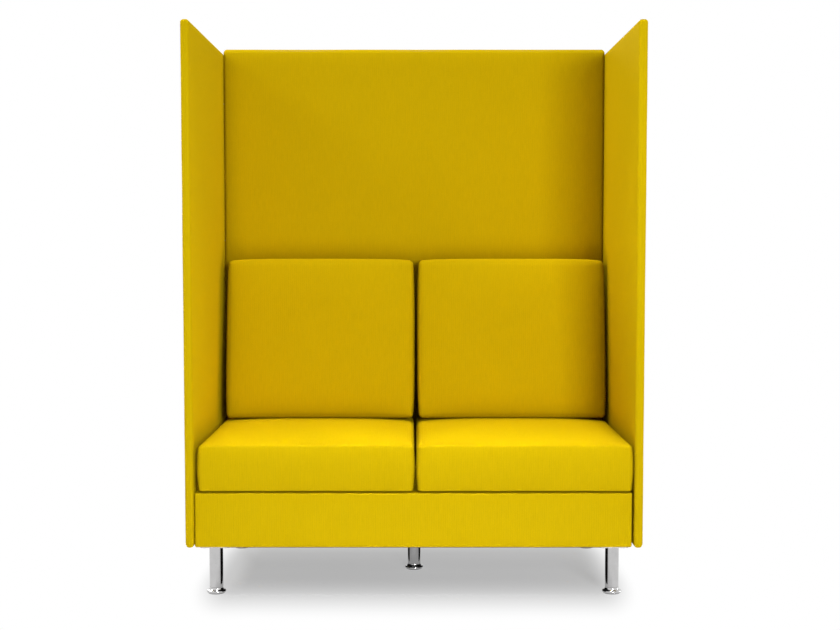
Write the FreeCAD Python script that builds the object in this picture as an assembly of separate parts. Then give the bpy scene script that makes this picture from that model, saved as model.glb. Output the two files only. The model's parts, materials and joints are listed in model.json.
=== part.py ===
"""High-backed two-seater office sofa: upholstered screens around a sprung base on chrome levelling legs.

Millimetres. X runs to the right in a front view, Y from front to back, Z up.
The origin is on the floor, under the middle of the sofa.
"""

import FreeCAD
import Part
import math
import os
from FreeCAD import Vector

# Overall form
overall_width = 1260.0
overall_depth = 720.0
leg_height = 136.0
side_panel_height = 1440.0
back_panel_rise = 12.0

# Screens: a plywood board inside a padded fabric cover
board_thickness = 16.0
board_corner_radius = 10.0
panel_padding = 5.0
panel_edge_radius = 12.0
back_panel_gap = 1.0

# Upholstered base
base_height = 152.0
base_side_gap = 4.0
base_front_recess = 4.0
base_rear_gap = 2.0
base_padding = 5.0
base_edge_radius = 8.0
base_hem_radius = 4.0
deck_cover_thickness = 4.0
dust_cover_thickness = 1.0

# Timber frame inside the base
rail_thickness = 25.0
centre_rail_height = 60.0
block_size = 92.0
block_height = 40.0
frame_screw_diameter = 5.0
frame_screw_head_diameter = 10.0
frame_screw_length = 65.0
frame_screw_edge = 35.0

# Interlaced elastic webbing and the felt over it
strap_width = 60.0
strap_thickness = 2.0
strap_end_margin = 4.0
long_strap_count = 8
cross_strap_count = 4
strap_lap = 5.0
felt_thickness = 4.0

# Bolts that hold the screens to the base
bolt_diameter = 8.0
bolt_head_flats = 13.0
bolt_head_height = 5.5
bolt_hole_diameter = 9.0
bolt_engagement = 12.0
washer_diameter = 18.0
washer_thickness = 1.6
insert_diameter = 12.0
insert_length = 13.0
side_bolt_count = 3
side_bolt_end_inset = 150.0
back_bolt_count = 4
back_bolt_end_inset = 180.0

# Keyhole plates and headed studs that join the back screen to the side screens
hook_count = 3
hook_above_base = 260.0
hook_below_top = 160.0
hook_setback = 6.5
keyhole_plate_length = 44.0
keyhole_plate_width = 15.0
keyhole_plate_thickness = 2.0
keyhole_entry_diameter = 10.6
keyhole_drop = 14.0
keyhole_pocket_depth = 6.0
stud_shank_diameter = 6.0
stud_head_diameter = 10.0
stud_head_thickness = 3.0
stud_embedment = 30.0

# Legs with levelling feet
leg_inset = 48.0
leg_tube_diameter = 38.0
leg_tube_wall = 1.5
leg_plate_size = 80.0
leg_plate_thickness = 3.0
leg_plate_corner_radius = 8.0
leg_screw_edge = 11.0
leg_screw_diameter = 5.0
leg_screw_head_diameter = 9.0
leg_screw_head_height = 2.6
leg_screw_length = 30.0
leg_insert_length = 15.0
leg_insert_recess = 2.0
foot_diameter = 54.0
foot_rim_radius = 4.2
foot_neck_height = 8.5
foot_stud_diameter = 10.0
foot_stud_length = 46.0
pad_diameter = 46.0
pad_thickness = 4.0
pad_show = 1.2
pad_boss_diameter = 8.0
pad_boss_height = 5.0

# Loose cushions, which sit a little to the right of the middle
seat_left_gap = 8.0
seat_middle_gap = 3.0
seat_right_gap = 1.0
seat_cushion_thickness = 131.0
seat_cushion_crown = 10.0
seat_edge_radius = 14.0
back_left_gap = 16.5
back_middle_gap = 8.0
back_right_gap = 5.5
back_cushion_height = 492.0
back_cushion_foot = 182.0
back_cushion_head = 102.0
back_cushion_crown = 12.0
back_edge_radius = 11.0
cushion_corner_radius = 22.0
cushion_belly = 2.5
cushion_side_pull = 2.5
cushion_wadding = 12.0
seat_front_recess = 4.0

# Hook-and-loop strips under the seat cushions
grip_width = 50.0
grip_thickness = 1.2
grip_length = 420.0
grip_spacing = 400.0

# Clearances
fit_gap = 0.1
soft_gap = 0.5
turning_gap = 0.3

# Places worked out from the sizes above
panel_thickness = board_thickness + 2.0 * panel_padding
inner_half_width = overall_width / 2.0 - panel_thickness
front_y = -overall_depth / 2.0
rear_y = overall_depth / 2.0
back_face_y = rear_y - panel_thickness
side_top_z = leg_height + side_panel_height
back_top_z = side_top_z + back_panel_rise

base_half_width = inner_half_width - base_side_gap
base_front_y = front_y + base_front_recess
base_rear_y = back_face_y - base_rear_gap
base_top_z = leg_height + base_height

frame_half_width = base_half_width - base_padding
frame_front_y = base_front_y + base_padding
frame_rear_y = base_rear_y - base_padding
frame_bottom_z = leg_height + dust_cover_thickness
felt_top_z = base_top_z - deck_cover_thickness
felt_bottom_z = felt_top_z - felt_thickness
frame_top_z = felt_bottom_z - 2.0 * strap_thickness
rail_inner_x = frame_half_width - rail_thickness
rail_front_inner_y = frame_front_y + rail_thickness
rail_rear_inner_y = frame_rear_y - rail_thickness
centre_rail_bottom_z = frame_bottom_z + block_height

bolt_z = (frame_bottom_z + frame_top_z) / 2.0
board_inner_x = inner_half_width + panel_padding
board_front_y = back_face_y + panel_padding
back_half_width = inner_half_width - back_panel_gap

leg_plate_bottom_z = frame_bottom_z - leg_plate_thickness
foot_rim_top_z = pad_show + 2.0 * foot_rim_radius
foot_top_z = foot_rim_top_z + foot_neck_height
tube_bottom_z = foot_top_z + turning_gap

seat_bottom_z = base_top_z + 2.0 * grip_thickness + turning_gap
seat_top_z = seat_bottom_z + seat_cushion_thickness + seat_cushion_crown
seat_front_y = front_y + seat_front_recess
seat_rear_y = back_face_y - base_rear_gap
seat_cushion_width = (2.0 * inner_half_width - seat_left_gap - seat_middle_gap - seat_right_gap) / 2.0
back_cushion_width = (2.0 * inner_half_width - back_left_gap - back_middle_gap - back_right_gap) / 2.0
back_cushion_bottom_z = seat_top_z + soft_gap
back_cushion_rear_y = back_face_y - soft_gap


def box(low, high):
    """A block between two opposite corners."""
    size = Vector(*high) - Vector(*low)
    return Part.makeBox(size.x, size.y, size.z, Vector(*low))


def rod(diameter, start, end):
    """A round bar between two points."""
    axis = Vector(*end) - Vector(*start)
    return Part.makeCylinder(diameter / 2.0, axis.Length, Vector(*start), axis)


def hex_head(flats, height, start, direction):
    """A hexagon prism that grows from a point along a direction."""
    corner = flats / math.sqrt(3.0)
    points = [Vector(corner * math.cos(a), corner * math.sin(a), 0.0)
              for a in (math.radians(60.0 * i) for i in range(7))]
    prism = Part.Face(Part.makePolygon(points)).extrude(Vector(0.0, 0.0, height))
    turn = FreeCAD.Rotation(Vector(0.0, 0.0, 1.0), Vector(*direction))
    prism.Placement = FreeCAD.Placement(Vector(*start), turn)
    return prism


def spread(first, last, count):
    """Evenly spaced places from first to last, both included."""
    return [first + (last - first) * i / (count - 1) for i in range(count)]


def edges_along(shape, axis):
    """The straight edges of a shape that run along one axis."""
    found = []
    for edge in shape.Edges:
        run = edge.Vertexes[-1].Point - edge.Vertexes[0].Point
        if run.Length > 0.0 and abs(run.normalize().dot(axis)) > 0.999:
            found.append(edge)
    return found


def bored(shape, tools):
    """A shape with every tool cut out of it."""
    return shape.cut(Part.makeCompound(tools)) if tools else shape


# Leg places

def leg_places():
    """Name and plan position of each leg: four corners and the middle."""
    side_x = base_half_width - leg_inset
    near_y = base_front_y + leg_inset
    far_y = base_rear_y - leg_inset
    return {
        "front_left": (-side_x, near_y),
        "front_right": (side_x, near_y),
        "rear_left": (-side_x, far_y),
        "rear_right": (side_x, far_y),
        "centre": (0.0, (near_y + far_y) / 2.0),
    }


def leg_screw_places():
    """Plan position of each screw of each leg plate."""
    reach = leg_plate_size / 2.0 - leg_screw_edge
    return [(x + sx * reach, y + sy * reach)
            for x, y in leg_places().values() for sx in (-1, 1) for sy in (-1, 1)]


def leg_screw_pilots():
    """Holes in the frame's underside for the leg screws."""
    hole = leg_screw_diameter + 2.0 * fit_gap
    end_z = leg_plate_bottom_z + leg_screw_length + fit_gap
    return [rod(hole, (x, y, frame_bottom_z), (x, y, end_z)) for x, y in leg_screw_places()]


# Bolt and hook places

def side_bolt_places():
    """Y position of each bolt through a side rail."""
    return spread(frame_front_y + side_bolt_end_inset, frame_rear_y - side_bolt_end_inset, side_bolt_count)


def back_bolt_places():
    """X position of each bolt through the rear rail."""
    reach = frame_half_width - back_bolt_end_inset
    return spread(-reach, reach, back_bolt_count)


def side_bolt_holes(near, far):
    """Holes for the side bolts through a layer between two distances from the middle."""
    return [rod(bolt_hole_diameter, (side * near, y, bolt_z), (side * far, y, bolt_z))
            for side in (-1, 1) for y in side_bolt_places()]


def rear_bolt_holes(near, far):
    """Holes for the rear bolts through a layer between two depths."""
    return [rod(bolt_hole_diameter, (x, near, bolt_z), (x, far, bolt_z)) for x in back_bolt_places()]


def hook_places():
    """Height of each stud between the back screen and a side screen."""
    return spread(base_top_z + hook_above_base, side_top_z - hook_below_top, hook_count)


def hook_y():
    """Depth of the studs, a little in front of the middle of the back board."""
    return board_front_y + hook_setback


# Screens

def padded_cover(low, high):
    """The outside of an upholstered screen: a slab with every edge rounded."""
    slab = box(low, high)
    return slab.makeFillet(panel_edge_radius, slab.Edges)


def plywood_board(low, high, thickness_axis):
    """A board with its four corners rounded, inset by the padding from a screen's outside."""
    inset = Vector(panel_padding, panel_padding, panel_padding)
    board = box(Vector(*low) + inset, Vector(*high) - inset)
    return board.makeFillet(board_corner_radius, edges_along(board, thickness_axis))


def keyhole_pocket(side, z):
    """The recess in a side board that takes a keyhole plate and the head of its stud."""
    top = z + keyhole_drop + keyhole_plate_width / 2.0
    half = keyhole_plate_width / 2.0 + fit_gap
    low_z = top - keyhole_plate_length - fit_gap
    near, far = sorted((side * board_inner_x, side * (board_inner_x + keyhole_pocket_depth)))
    return box((near, hook_y() - half, low_z), (far, hook_y() + half, top + fit_gap))


def keyhole_window(side, z):
    """The slot in a side cover that lets a stud's head reach its keyhole."""
    half = keyhole_entry_diameter / 2.0
    near, far = sorted((side * inner_half_width, side * board_inner_x))
    return box((near, hook_y() - half, z - half), (far, hook_y() + half, z + keyhole_drop + half))


def side_screen(name, side):
    """Board and cover of one side screen; side is -1 at the left and 1 at the right."""
    near, far = sorted((side * inner_half_width, side * overall_width / 2.0))
    low = (near, front_y, leg_height)
    high = (far, rear_y, side_top_z)
    board = plywood_board(low, high, Vector(1.0, 0.0, 0.0))
    cover = padded_cover(low, high).cut(board)
    inserts = [rod(insert_diameter + 2.0 * fit_gap, (side * board_inner_x, y, bolt_z),
                   (side * (board_inner_x + insert_length), y, bolt_z)) for y in side_bolt_places()]
    windows = side_bolt_holes(inner_half_width, board_inner_x)
    board = bored(board, inserts + [keyhole_pocket(side, z) for z in hook_places()])
    cover = bored(cover, windows + [keyhole_window(side, z) for z in hook_places()])
    return {name + "_screen_board": board, name + "_screen_cover": cover}


def back_screen():
    """Board and cover of the back screen, which stands between the side screens."""
    low = (-back_half_width, back_face_y, leg_height)
    high = (back_half_width, rear_y, back_top_z)
    board = plywood_board(low, high, Vector(0.0, 1.0, 0.0))
    cover = padded_cover(low, high).cut(board)
    inserts = [rod(insert_diameter + 2.0 * fit_gap, (x, board_front_y, bolt_z),
                   (x, board_front_y + insert_length, bolt_z)) for x in back_bolt_places()]
    windows = rear_bolt_holes(back_face_y, board_front_y)
    edge_x = back_half_width - panel_padding
    studs = [rod(stud_shank_diameter + 2.0 * fit_gap, (side * (edge_x - stud_embedment), hook_y(), z),
                 (side * back_half_width, hook_y(), z)) for side in (-1, 1) for z in hook_places()]
    return {"back_screen_board": bored(board, inserts + studs),
            "back_screen_cover": bored(cover, windows + studs)}


def screen_bolt(start, direction):
    """A hexagon bolt whose head seats on its washer; start is the rail's inner face."""
    way = Vector(*direction)
    seat = Vector(*start) - way * washer_thickness
    gap = base_side_gap if abs(way.x) > 0.5 else base_rear_gap
    reach = rail_thickness + base_padding + gap + panel_padding + bolt_engagement
    shank = rod(bolt_diameter, seat, Vector(*start) + way * reach)
    return shank.fuse(hex_head(bolt_head_flats, bolt_head_height, seat, way * -1.0))


def washer(start, direction):
    """A flat washer on a rail's inner face."""
    seat = Vector(*start) - Vector(*direction) * washer_thickness
    outside = rod(washer_diameter, seat, start)
    return outside.cut(rod(bolt_hole_diameter, seat, start))


def threaded_insert(start, direction):
    """A threaded sleeve sunk in a board; start is the board's face."""
    end = Vector(*start) + Vector(*direction) * insert_length
    return rod(insert_diameter, start, end).cut(rod(bolt_diameter + 2.0 * fit_gap, start, end))


def screen_fasteners():
    """Bolts, washers and threaded inserts of all three screens."""
    seats = [((side * rail_inner_x, y, bolt_z), (side * board_inner_x, y, bolt_z), (side, 0.0, 0.0))
             for side in (-1, 1) for y in side_bolt_places()]
    seats += [((x, rail_rear_inner_y, bolt_z), (x, board_front_y, bolt_z), (0.0, 1.0, 0.0))
              for x in back_bolt_places()]
    return {
        "screen_bolts": Part.makeCompound([screen_bolt(rail, way) for rail, board, way in seats]),
        "screen_washers": Part.makeCompound([washer(rail, way) for rail, board, way in seats]),
        "screen_inserts": Part.makeCompound([threaded_insert(board, way) for rail, board, way in seats]),
    }


def keyhole_plate(side, z):
    """A steel plate with an entry hole above a narrow slot, let into a side board."""
    half = keyhole_plate_width / 2.0
    top = z + keyhole_drop + half
    near, far = sorted((side * board_inner_x, side * (board_inner_x + keyhole_plate_thickness)))
    plate = box((near, hook_y() - half, top - keyhole_plate_length), (far, hook_y() + half, top))
    plate = plate.makeFillet(half - fit_gap, edges_along(plate, Vector(1.0, 0.0, 0.0)))
    slot_half = stud_shank_diameter / 2.0 + fit_gap
    entry_z = z + keyhole_drop
    entry = rod(keyhole_entry_diameter, (near, hook_y(), entry_z), (far, hook_y(), entry_z))
    slot = box((near, hook_y() - slot_half, z), (far, hook_y() + slot_half, entry_z))
    seat = rod(2.0 * slot_half, (near, hook_y(), z), (far, hook_y(), z))
    return bored(plate, [entry, slot, seat])


def hook_stud(side, z):
    """A headed stud screwed into the back board's edge and hooked behind a keyhole plate."""
    root = side * (back_half_width - panel_padding - stud_embedment)
    neck = side * (board_inner_x + keyhole_plate_thickness + fit_gap)
    tip = neck + side * stud_head_thickness
    shank = rod(stud_shank_diameter, (root, hook_y(), z), (neck, hook_y(), z))
    return shank.fuse(rod(stud_head_diameter, (neck, hook_y(), z), (tip, hook_y(), z)))


def screen_hooks():
    """Keyhole plates and studs, one pair at each height on each side."""
    spots = [(side, z) for side in (-1, 1) for z in hook_places()]
    return {"keyhole_plates": Part.makeCompound([keyhole_plate(*spot) for spot in spots]),
            "hook_studs": Part.makeCompound([hook_stud(*spot) for spot in spots])}


# Base

def frame_screw_spots():
    """Start point and direction of each screw through the front and rear rails."""
    heights = (frame_bottom_z + frame_screw_edge, frame_top_z - frame_screw_edge)
    centre_z = centre_rail_bottom_z + centre_rail_height / 2.0
    side_x = frame_half_width - rail_thickness / 2.0
    spots = [(side * side_x, z) for side in (-1, 1) for z in heights] + [(0.0, centre_z)]
    return [((x, y, z), (0.0, way, 0.0)) for y, way in ((frame_front_y, 1.0), (frame_rear_y, -1.0))
            for x, z in spots]


def frame_screw(start, direction, clearance=0.0):
    """A countersunk wood screw, or its hole where a clearance is given."""
    way = Vector(*direction)
    radius = frame_screw_diameter / 2.0 + clearance
    head = frame_screw_head_diameter / 2.0 + clearance
    sink = Part.makeCone(head, radius, head - radius, Vector(*start), way)
    length = frame_screw_length + clearance
    return sink.fuse(Part.makeCylinder(radius, length, Vector(*start), way))


def timber_frame():
    """Four outer rails, a lowered centre rail, leg blocks and the screws that join the rails."""
    holes = [frame_screw(start, way, fit_gap) for start, way in frame_screw_spots()] + leg_screw_pilots()
    side_holes = side_bolt_holes(rail_inner_x, frame_half_width)
    rear_holes = rear_bolt_holes(rail_rear_inner_y, frame_rear_y)
    front = box((-frame_half_width, frame_front_y, frame_bottom_z),
                (frame_half_width, rail_front_inner_y, frame_top_z))
    rear = box((-frame_half_width, rail_rear_inner_y, frame_bottom_z),
               (frame_half_width, frame_rear_y, frame_top_z))
    left = box((-frame_half_width, rail_front_inner_y, frame_bottom_z),
               (-rail_inner_x, rail_rear_inner_y, frame_top_z))
    right = box((rail_inner_x, rail_front_inner_y, frame_bottom_z),
                (frame_half_width, rail_rear_inner_y, frame_top_z))
    centre = box((-rail_thickness / 2.0, rail_front_inner_y, centre_rail_bottom_z),
                 (rail_thickness / 2.0, rail_rear_inner_y, centre_rail_bottom_z + centre_rail_height))
    return {
        "front_rail": bored(front, holes),
        "rear_rail": bored(rear, holes + rear_holes),
        "left_rail": bored(left, holes + side_holes),
        "right_rail": bored(right, holes + side_holes),
        "centre_rail": bored(centre, holes),
        "frame_screws": Part.makeCompound([frame_screw(start, way) for start, way in frame_screw_spots()]),
        "leg_blocks": leg_blocks(),
    }


def leg_blocks():
    """A plywood block over each leg: in each corner of the frame and under the centre rail."""
    top = frame_bottom_z + block_height
    blocks = []
    for x, y in leg_places().values():
        low_x = min(max(x - block_size / 2.0, -rail_inner_x), rail_inner_x - block_size)
        low_y = min(max(y - block_size / 2.0, rail_front_inner_y), rail_rear_inner_y - block_size)
        block = box((low_x, low_y, frame_bottom_z), (low_x + block_size, low_y + block_size, top))
        blocks.append(bored(block, leg_screw_pilots()))
    return Part.makeCompound(blocks)


def cross_strap_places():
    """Y position of each strap that runs from side to side."""
    clear = rail_rear_inner_y - rail_front_inner_y
    pitch = clear / cross_strap_count
    return [rail_front_inner_y + pitch * (i + 0.5) for i in range(cross_strap_count)]


def long_strap(x, parity):
    """A strap from front to back that passes over and under the cross straps by turns."""
    half_land = strap_width / 2.0 + strap_lap
    lower = [(frame_front_y + strap_end_margin, frame_top_z), (rail_front_inner_y, frame_top_z)]
    for i, y in enumerate(cross_strap_places()):
        step = strap_thickness if (i + parity) % 2 == 0 else -strap_thickness
        lower += [(y - half_land, frame_top_z + step), (y + half_land, frame_top_z + step)]
    lower += [(rail_rear_inner_y, frame_top_z), (frame_rear_y - strap_end_margin, frame_top_z)]
    upper = [(y, z + strap_thickness) for y, z in reversed(lower)]
    outline = [Vector(x - strap_width / 2.0, y, z) for y, z in lower + upper + lower[:1]]
    return Part.Face(Part.makePolygon(outline)).extrude(Vector(strap_width, 0.0, 0.0))


def webbing():
    """Straight straps across the frame, with straps from front to back laced through them."""
    reach = frame_half_width - strap_end_margin
    half = strap_width / 2.0
    cross = [box((-reach, y - half, frame_top_z), (reach, y + half, frame_top_z + strap_thickness))
             for y in cross_strap_places()]
    pitch = 2.0 * rail_inner_x / long_strap_count
    long_xs = [-rail_inner_x + pitch * (i + 0.5) for i in range(long_strap_count)]
    return {"cross_webbing": Part.makeCompound(cross),
            "long_webbing": Part.makeCompound([long_strap(x, i) for i, x in enumerate(long_xs)])}


def base_coverings():
    """Padded base cover, open below, with the felt under its deck and the dust cover that closes it."""
    outside = box((-base_half_width, base_front_y, leg_height), (base_half_width, base_rear_y, base_top_z))
    middle_z = leg_height + base_height / 2.0
    outside = outside.makeFillet(base_edge_radius, [e for e in outside.Edges if e.BoundBox.ZMax > middle_z])
    outside = outside.makeFillet(base_hem_radius, [e for e in outside.Edges if e.BoundBox.ZMax < middle_z])
    cavity = box((-frame_half_width, frame_front_y, leg_height),
                 (frame_half_width, frame_rear_y, felt_top_z))
    side_holes = side_bolt_holes(frame_half_width, base_half_width)
    rear_holes = rear_bolt_holes(frame_rear_y, base_rear_y)
    felt = box((-frame_half_width, frame_front_y, felt_bottom_z),
               (frame_half_width, frame_rear_y, felt_top_z))
    dust = box((-frame_half_width, frame_front_y, leg_height),
               (frame_half_width, frame_rear_y, frame_bottom_z))
    half = leg_plate_size / 2.0 + fit_gap
    windows = [box((x - half, y - half, leg_height), (x + half, y + half, frame_bottom_z))
               for x, y in leg_places().values()]
    return {"base_cover": bored(outside, [cavity] + side_holes + rear_holes),
            "deck_felt": felt,
            "dust_cover": bored(dust, windows)}


# Legs

def leg_plate(x, y):
    """A square steel plate with rounded corners and four screw holes."""
    half = leg_plate_size / 2.0
    plate = box((x - half, y - half, leg_plate_bottom_z), (x + half, y + half, frame_bottom_z))
    plate = plate.makeFillet(leg_plate_corner_radius, edges_along(plate, Vector(0.0, 0.0, 1.0)))
    hole = leg_screw_diameter + 2.0 * fit_gap
    return bored(plate, [rod(hole, (sx, sy, leg_plate_bottom_z), (sx, sy, frame_bottom_z))
                         for sx, sy in leg_screw_places()])


def leg_screw(x, y):
    """A round-headed wood screw through a leg plate."""
    seat = leg_plate_bottom_z
    shank = rod(leg_screw_diameter, (x, y, seat), (x, y, seat + leg_screw_length))
    head = Part.makeCone(leg_screw_head_diameter / 2.0, leg_screw_diameter / 2.0, leg_screw_head_height,
                         Vector(x, y, seat), Vector(0.0, 0.0, -1.0))
    return shank.fuse(head)


def leg_tube(x, y):
    """A chrome tube from its plate down to the levelling foot."""
    start, end = (x, y, tube_bottom_z), (x, y, leg_plate_bottom_z)
    return rod(leg_tube_diameter, start, end).cut(rod(leg_tube_diameter - 2.0 * leg_tube_wall, start, end))


def leg_insert(x, y):
    """The threaded plug in a tube's lower end that the foot's stud turns in."""
    low = tube_bottom_z + leg_insert_recess
    outer = leg_tube_diameter - 2.0 * leg_tube_wall - 2.0 * fit_gap
    start, end = (x, y, low), (x, y, low + leg_insert_length)
    return rod(outer, start, end).cut(rod(foot_stud_diameter + 2.0 * fit_gap, start, end))


def foot(x, y):
    """A chrome levelling foot turned in one piece: round rim, hollow neck and threaded stud."""
    rim = foot_diameter / 2.0
    neck = leg_tube_diameter / 2.0
    low, stud = pad_show, foot_stud_diameter / 2.0
    recess_z = pad_thickness + turning_gap
    hole = pad_boss_diameter / 2.0 + fit_gap
    hole_z = recess_z + pad_boss_height
    round_x, round_z = rim - foot_rim_radius, low + foot_rim_radius
    recess = pad_diameter / 2.0 + turning_gap
    shoulder = Vector(round_x, 0.0, foot_rim_top_z)
    collar = Vector(neck, 0.0, foot_top_z)
    bow = Vector(neck + (round_x - neck) * 0.25, 0.0, foot_rim_top_z + foot_neck_height * 0.3)
    below = [Vector(0.0, 0.0, hole_z), Vector(hole, 0.0, hole_z), Vector(hole, 0.0, recess_z),
             Vector(recess, 0.0, recess_z), Vector(recess, 0.0, low), Vector(round_x, 0.0, low)]
    above = [collar, Vector(stud, 0.0, foot_top_z), Vector(stud, 0.0, foot_top_z + foot_stud_length),
             Vector(0.0, 0.0, foot_top_z + foot_stud_length), below[0]]
    edges = [Part.LineSegment(a, b).toShape() for a, b in zip(below, below[1:])]
    edges.append(Part.Arc(below[-1], Vector(rim, 0.0, round_z), shoulder).toShape())
    edges.append(Part.Arc(shoulder, bow, collar).toShape())
    edges += [Part.LineSegment(a, b).toShape() for a, b in zip(above, above[1:])]
    turned = Part.Face(Part.Wire(edges)).revolve(Vector(0.0, 0.0, 0.0), Vector(0.0, 0.0, 1.0), 360.0)
    turned.translate(Vector(x, y, 0.0))
    return turned


def foot_pad(x, y):
    """A plastic glide that stays still on the floor while the foot turns on its boss."""
    disc = rod(pad_diameter, (x, y, 0.0), (x, y, pad_thickness))
    return disc.fuse(rod(pad_boss_diameter, (x, y, pad_thickness), (x, y, pad_thickness + pad_boss_height)))


def legs():
    """Plate, tube, foot and pad of every leg, with the plugs and screws as two groups."""
    made = {}
    for name, (x, y) in leg_places().items():
        made[name + "_leg_plate"] = leg_plate(x, y)
        made[name + "_leg_tube"] = leg_tube(x, y)
        made[name + "_foot"] = foot(x, y)
        made[name + "_foot_pad"] = foot_pad(x, y)
    made["leg_inserts"] = Part.makeCompound([leg_insert(x, y) for x, y in leg_places().values()])
    made["leg_screws"] = Part.makeCompound([leg_screw(x, y) for x, y in leg_screw_places()])
    return made


# Cushions

def cushion_outline(half_u, half_v, corner, pull, place):
    """A closed outline of four sides drawn in at the middle and four round corners."""
    slant = corner * (1.0 - math.sqrt(0.5))
    edges = []
    for turn in range(4):
        a, b = (half_u, half_v) if turn % 2 == 0 else (half_v, half_u)
        side = [(corner - a, -b), (0.0, pull - b), (a - corner, -b)]
        bend = [(a - corner, -b), (a - slant, slant - b), (a, corner - b)]
        for stretch in (side, bend):
            points = []
            for u, v in stretch:
                for _ in range(turn):
                    u, v = -v, u
                points.append(place(u, v))
            edges.append(Part.Arc(*points).toShape())
    return Part.Wire(edges)


def crowned_cushion(width, length, thickness_at, edge, crown, place):
    """A padded form that swells at its sides and rises to a crown on the face away from its back.

    thickness_at gives the thickness along the length, and place puts (across, along, out) in the sofa.
    """
    bevel = edge * (1.0 - math.sqrt(0.5))
    dome = min(width, length) / 2.0
    tight = cushion_corner_radius - edge / 2.0
    rim = cushion_belly + edge
    steps = [(0.0, 0.0, rim, tight), (0.0, bevel, cushion_belly + bevel, cushion_corner_radius),
             (0.0, edge, cushion_belly, cushion_corner_radius), (0.5, 0.0, 0.0, cushion_corner_radius),
             (1.0, -edge, cushion_belly, cushion_corner_radius),
             (1.0, -bevel, cushion_belly + bevel, cushion_corner_radius), (1.0, crown * 0.1, rim, tight),
             (1.0, crown * 0.5, rim + dome * 0.1, dome * 0.15),
             (1.0, crown * 0.82, rim + dome * 0.25, dome * 0.25),
             (1.0, crown, rim + dome * 0.5, dome * 0.3)]
    sections = []
    for share, rise, inset, corner in steps:
        def put(u, v, share=share, rise=rise):
            return place(u, v, share * thickness_at(v) + rise)
        half_u, half_v = width / 2.0 - inset, length / 2.0 - inset
        sections.append(cushion_outline(half_u, half_v, corner, cushion_side_pull, put))
    return Part.makeLoft(sections, True, True)


def cushion_x(side, width, left_gap, right_gap):
    """Middle of the left or right cushion of a pair, from the gaps beside the side screens."""
    if side < 0:
        return left_gap + width / 2.0 - inner_half_width
    return inner_half_width - right_gap - width / 2.0


def seat_cushion(name, side):
    """Cover, foam and grip strips of one seat cushion."""
    x = cushion_x(side, seat_cushion_width, seat_left_gap, seat_right_gap)
    y = (seat_front_y + seat_rear_y) / 2.0
    depth = seat_rear_y - seat_front_y

    def place(u, v, w):
        return Vector(x + u, y + v, seat_bottom_z + w)

    def thickness_at(_):
        return seat_cushion_thickness

    form = crowned_cushion(seat_cushion_width, depth, thickness_at, seat_edge_radius,
                           seat_cushion_crown, place)
    half_w = seat_cushion_width / 2.0 - cushion_wadding
    half_d = depth / 2.0 - cushion_wadding
    foam = box((x - half_w, y - half_d, seat_bottom_z + cushion_wadding),
               (x + half_w, y + half_d, seat_bottom_z + seat_cushion_thickness - cushion_wadding))
    grips = grip_strips(x, y, seat_bottom_z - grip_thickness)
    return {name + "_seat_cover": form.cut(foam), name + "_seat_foam": foam, name + "_seat_grips": grips}


def grip_strips(x, y, z):
    """Two strips of grip tape that run from front to back under a seat cushion."""
    return Part.makeCompound([
        box((x + side * grip_spacing / 2.0 - grip_width / 2.0, y - grip_length / 2.0, z),
            (x + side * grip_spacing / 2.0 + grip_width / 2.0, y + grip_length / 2.0, z + grip_thickness))
        for side in (-1, 1)])


def deck_grips():
    """The strips on the base's deck that hold those under the seat cushions."""
    y = (seat_front_y + seat_rear_y) / 2.0
    xs = [cushion_x(side, seat_cushion_width, seat_left_gap, seat_right_gap) for side in (-1, 1)]
    strips = [grip_strips(x, y, base_top_z) for x in xs]
    return {"deck_grips": Part.makeCompound([solid for strip in strips for solid in strip.Solids])}


def back_cushion(name, side):
    """Cover and foam of one wedge-shaped back cushion, which leans on the back screen."""
    x = cushion_x(side, back_cushion_width, back_left_gap, back_right_gap)
    middle_z = back_cushion_bottom_z + back_cushion_height / 2.0

    def place(u, v, w):
        return Vector(x + u, back_cushion_rear_y - w, middle_z + v)

    def thickness_at(v):
        share = v / back_cushion_height + 0.5
        return back_cushion_foot + (back_cushion_head - back_cushion_foot) * share

    form = crowned_cushion(back_cushion_width, back_cushion_height, thickness_at, back_edge_radius,
                           back_cushion_crown, place)
    half_w = back_cushion_width / 2.0 - cushion_wadding
    half_h = back_cushion_height / 2.0 - cushion_wadding
    outline = [place(-half_w, -half_h, cushion_wadding), place(-half_w, half_h, cushion_wadding),
               place(-half_w, half_h, thickness_at(half_h) - cushion_wadding),
               place(-half_w, -half_h, thickness_at(-half_h) - cushion_wadding)]
    foam = Part.Face(Part.makePolygon(outline + outline[:1])).extrude(Vector(2.0 * half_w, 0.0, 0.0))
    return {name + "_back_cushion_cover": form.cut(foam), name + "_back_cushion_foam": foam}


def main():
    """Builds every piece and writes one file for each."""
    pieces = {}
    pieces.update(side_screen("left", -1))
    pieces.update(side_screen("right", 1))
    pieces.update(back_screen())
    pieces.update(screen_fasteners())
    pieces.update(screen_hooks())
    pieces.update(timber_frame())
    pieces.update(webbing())
    pieces.update(base_coverings())
    pieces.update(legs())
    pieces.update(deck_grips())
    for name, side in (("left", -1), ("right", 1)):
        pieces.update(seat_cushion(name, side))
        pieces.update(back_cushion(name, side))
    os.makedirs("parts", exist_ok=True)
    for name, shape in pieces.items():
        shape.exportStep(os.path.join("parts", name + ".step"))


main()
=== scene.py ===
"""Looks of the two-seater screen sofa: upholstery, chrome, hidden materials, studio and camera. Metres."""

import json
import math

import bmesh
import bpy
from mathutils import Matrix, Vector, noise

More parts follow.
